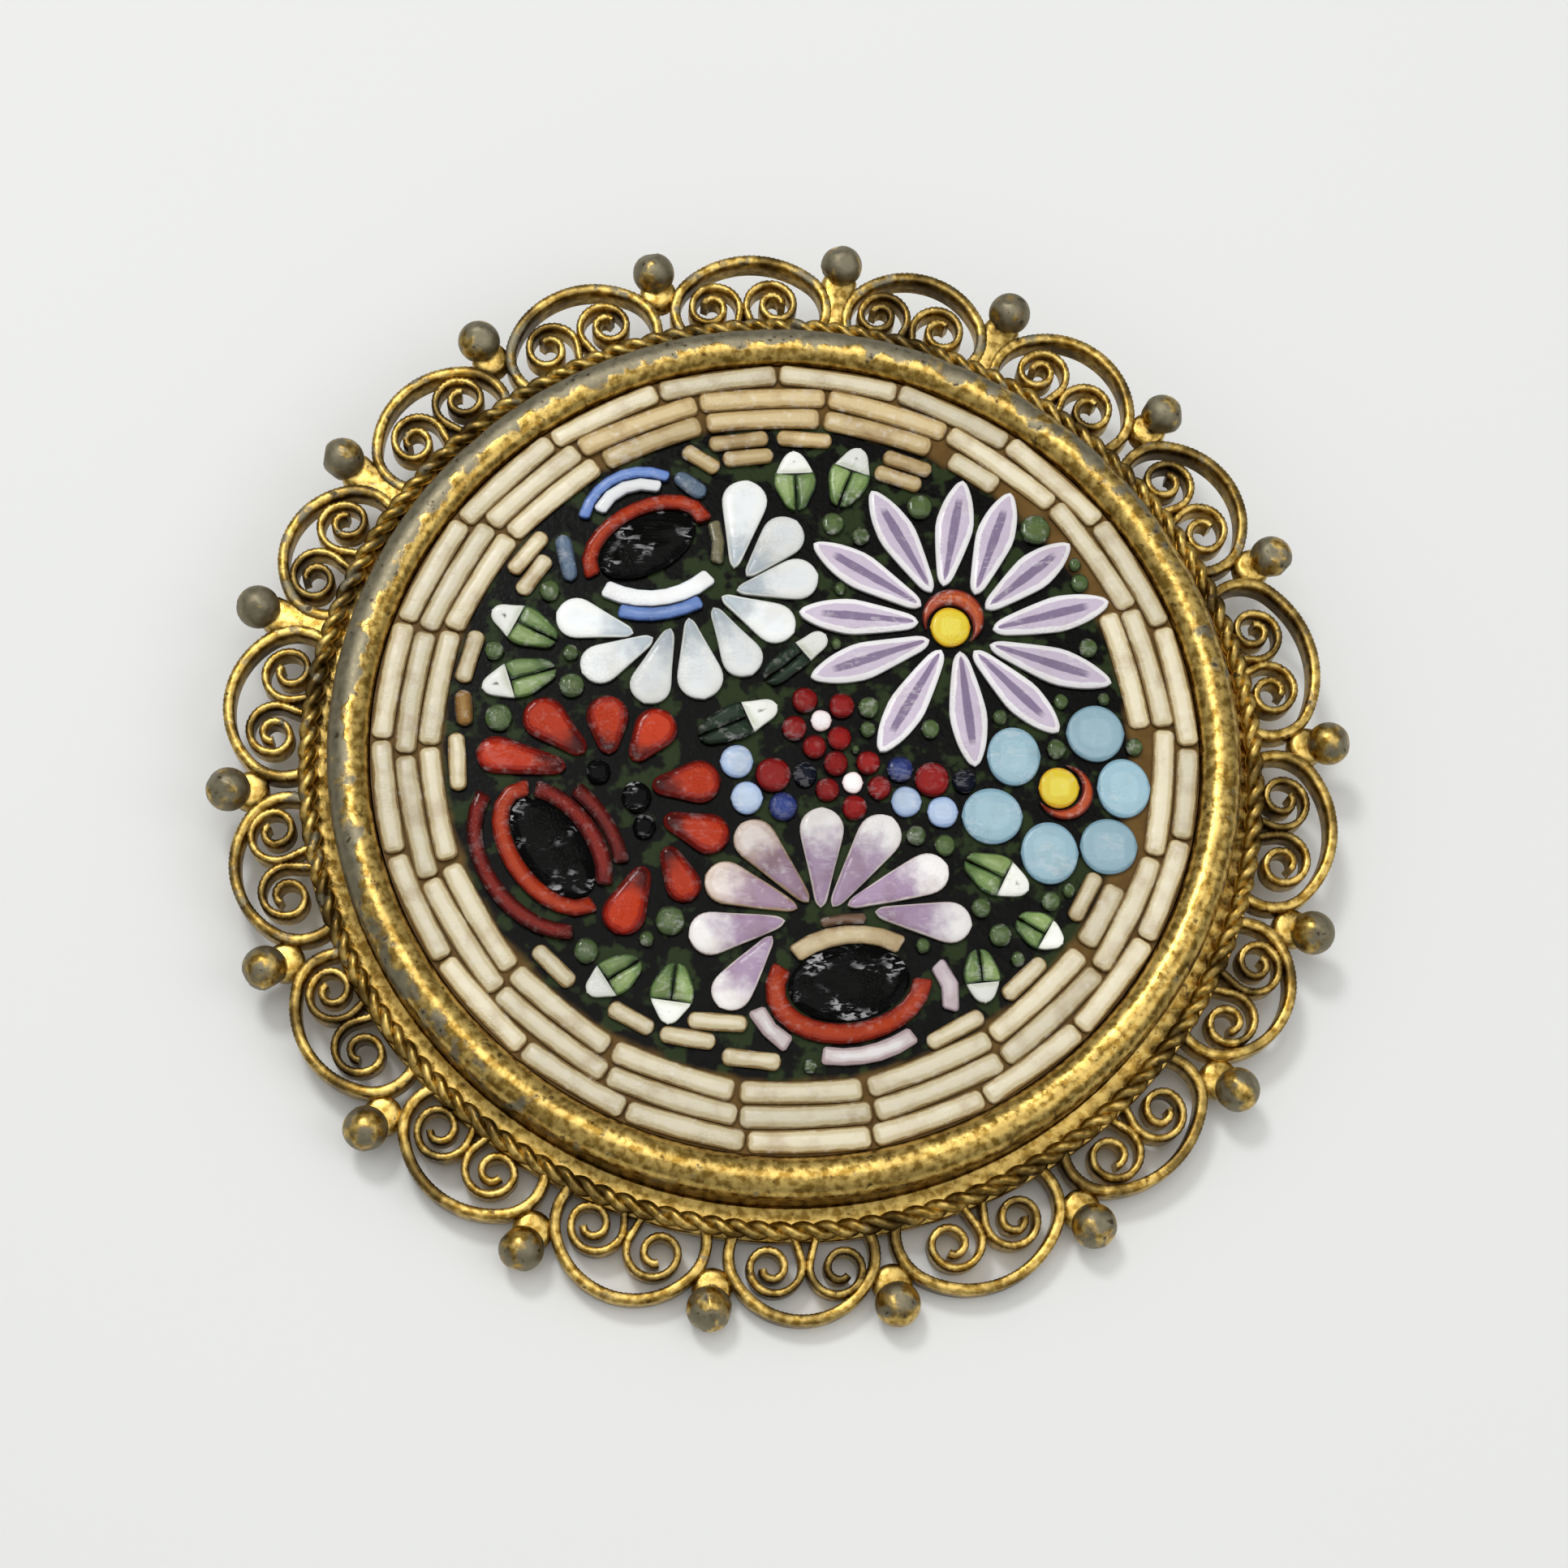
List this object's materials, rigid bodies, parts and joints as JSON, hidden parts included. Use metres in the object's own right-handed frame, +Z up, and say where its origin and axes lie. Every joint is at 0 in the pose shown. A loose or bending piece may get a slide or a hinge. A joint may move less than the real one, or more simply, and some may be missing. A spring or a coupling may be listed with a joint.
{
  "type": "micromosaic brooch",
  "caption": "Round brooch: a micromosaic of flowers in opaque glass on a black ground, in a gilt brass setting with a border of wire scallops, spirals and balls.",
  "frame": {"origin": "middle of the footprint, on the surface that the brooch lies on", "axes": "+Z up, +Y towards the top of the picture, +X to the picture's right; the face leans back from +Z by the small rest angle"},
  "size_m": [0.0418, 0.0414, 0.0061],
  "materials": {
    "gilt_brass": "patchy worn gold leaf, silvery grey where it is rubbed",
    "pin_brass": "plain drawn wire",
    "dark_mastic": "glossy black mastic",
    "cream_glass": "opaque ground glass, polished",
    "lavender_glass": "opaque ground glass, polished",
    "orange_glass": "opaque ground glass, polished",
    "white_glass": "opaque ground glass, polished",
    "black_glass": "opaque ground glass, polished",
    "pink_glass": "opaque ground glass, polished",
    "red_glass": "opaque ground glass, polished",
    "turquoise_glass": "opaque ground glass, polished",
    "dark_red_glass": "opaque ground glass, polished",
    "blue_glass": "opaque ground glass, polished",
    "green_glass": "opaque ground glass, polished",
    "olive_glass": "opaque ground glass, polished"
  },
  "bodies": {
    "root": {"setting": "gilt_brass", "pin": "pin_brass", "bed": "dark_mastic", "rods_outer": "cream_glass", "rods_middle": "cream_glass", "rods_inner": "cream_glass", "rods_short": "cream_glass", "daisy_petal_1": "lavender_glass", "daisy_petal_2": "lavender_glass", "daisy_petal_3": "lavender_glass", "daisy_petal_4": "lavender_glass", "daisy_petal_5": "lavender_glass", "daisy_petal_6": "lavender_glass", "daisy_petal_7": "lavender_glass", "daisy_petal_8": "lavender_glass", "daisy_petal_9": "lavender_glass", "daisy_petal_10": "lavender_glass", "daisy_petal_11": "lavender_glass", "daisy_petal_12": "lavender_glass", "daisy_eye": "orange_glass", "white_petal_1": "white_glass", "white_petal_2": "white_glass", "white_petal_3": "white_glass", "white_petal_4": "white_glass", "white_petal_5": "white_glass", "white_petal_6": "white_glass", "white_petal_7": "white_glass", "white_petal_8": "white_glass", "white_petal_9": "white_glass", "white_bud_stone": "black_glass", "white_bud_rim": "orange_glass", "pink_petal_1": "pink_glass", "pink_petal_2": "pink_glass", "pink_petal_3": "pink_glass", "pink_petal_4": "pink_glass", "pink_petal_5": "pink_glass", "pink_petal_6": "pink_glass", "pink_petal_7": "pink_glass", "pink_petal_8": "pink_glass", "pink_bud_stone": "black_glass", "pink_bud_rim": "orange_glass", "poppy_petal_1": "red_glass", "poppy_petal_2": "red_glass", "poppy_petal_3": "red_glass", "poppy_petal_4": "red_glass", "poppy_petal_5": "red_glass", "poppy_petal_6": "red_glass", "poppy_petal_7": "red_glass", "poppy_petal_8": "red_glass", "poppy_heart": "black_glass", "poppy_bud_stone": "black_glass", "poppy_bud_rim": "red_glass", "turquoise_discs": "turquoise_glass", "turquoise_eye": "orange_glass", "red_blossoms": "dark_red_glass", "blue_blossoms": "blue_glass", "leaves": "green_glass", "seeds": "olive_glass"}
  },
  "joints": []
}
